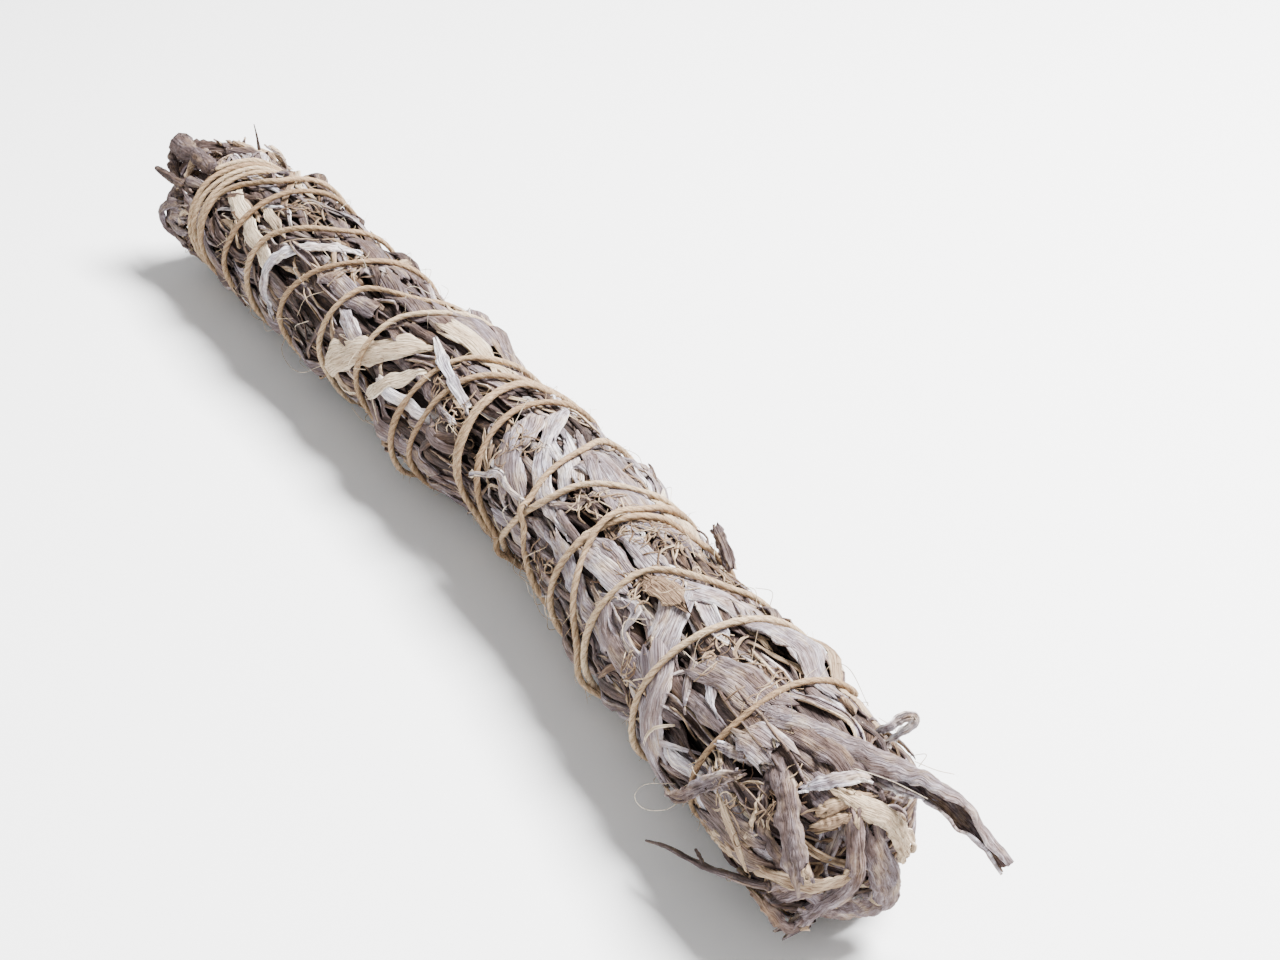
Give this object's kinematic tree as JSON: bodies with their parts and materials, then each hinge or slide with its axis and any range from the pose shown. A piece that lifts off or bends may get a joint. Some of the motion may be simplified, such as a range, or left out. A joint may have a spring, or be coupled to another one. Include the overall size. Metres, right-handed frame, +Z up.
{
  "type": "bundle of mitsumata twigs",
  "caption": "Dried mitsumata twigs and curled bark strips, laid side by side and bound along their whole length with wound twine.",
  "frame": {"origin": "centre of the whole object's box in X and Y, on the surface it lies on", "axes": "+X along the bundle, towards the end where the bark folds over; +Z up, away from the surface it lies on"},
  "size_m": [0.3332, 0.0521, 0.0435],
  "materials": {
    "weathered_bark": "dry weathered grey-brown bark, streaked along its length",
    "pale_bark": "dry pale grey-tan bark",
    "inner_bark": "dry cream-tan inner side of bark, fibrous",
    "twig": "dry dark brown twig",
    "twine": "matt tan plied plant-fibre twine"
  },
  "bodies": {
    "root": {"bark_far_01": "weathered_bark", "bark_far_02": "pale_bark", "bark_far_03": "weathered_bark", "bark_far_04": "weathered_bark", "bark_far_05": "weathered_bark", "bark_far_06": "pale_bark", "bark_far_07": "weathered_bark", "bark_far_08": "weathered_bark", "bark_far_09": "weathered_bark", "bark_far_10": "pale_bark", "bark_far_11": "weathered_bark", "bark_far_12": "weathered_bark", "bark_near_01": "weathered_bark", "bark_near_02": "weathered_bark", "bark_near_03": "weathered_bark", "bark_near_04": "weathered_bark", "bark_near_05": "weathered_bark", "bark_near_06": "weathered_bark", "bark_near_07": "weathered_bark", "bark_near_08": "weathered_bark", "bark_near_09": "weathered_bark", "bark_near_10": "weathered_bark", "bark_near_11": "weathered_bark", "bark_near_12": "weathered_bark", "end_arc": "inner_bark", "far_knob": "weathered_bark", "far_stub": "twig", "front_fold": "weathered_bark", "left_curl": "weathered_bark", "left_twig": "twig", "long_fold": "weathered_bark", "near_fold_a": "weathered_bark", "near_fold_b": "weathered_bark", "side_loop": "pale_bark", "side_tab": "weathered_bark", "tan_wrap": "inner_bark", "thorn": "twig", "twig_01": "twig", "twig_02": "twig", "twig_03": "twig", "twig_04": "twig", "twig_05": "twig", "twig_06": "twig", "twig_07": "twig", "twig_08": "twig", "twig_09": "twig", "twig_10": "twig", "twig_11": "twig", "twig_12": "twig", "twig_13": "twig", "twig_14": "twig", "twig_15": "twig", "twig_16": "twig", "twig_17": "twig", "twig_18": "twig", "twig_19": "twig", "twine": "twine"}
  },
  "joints": []
}
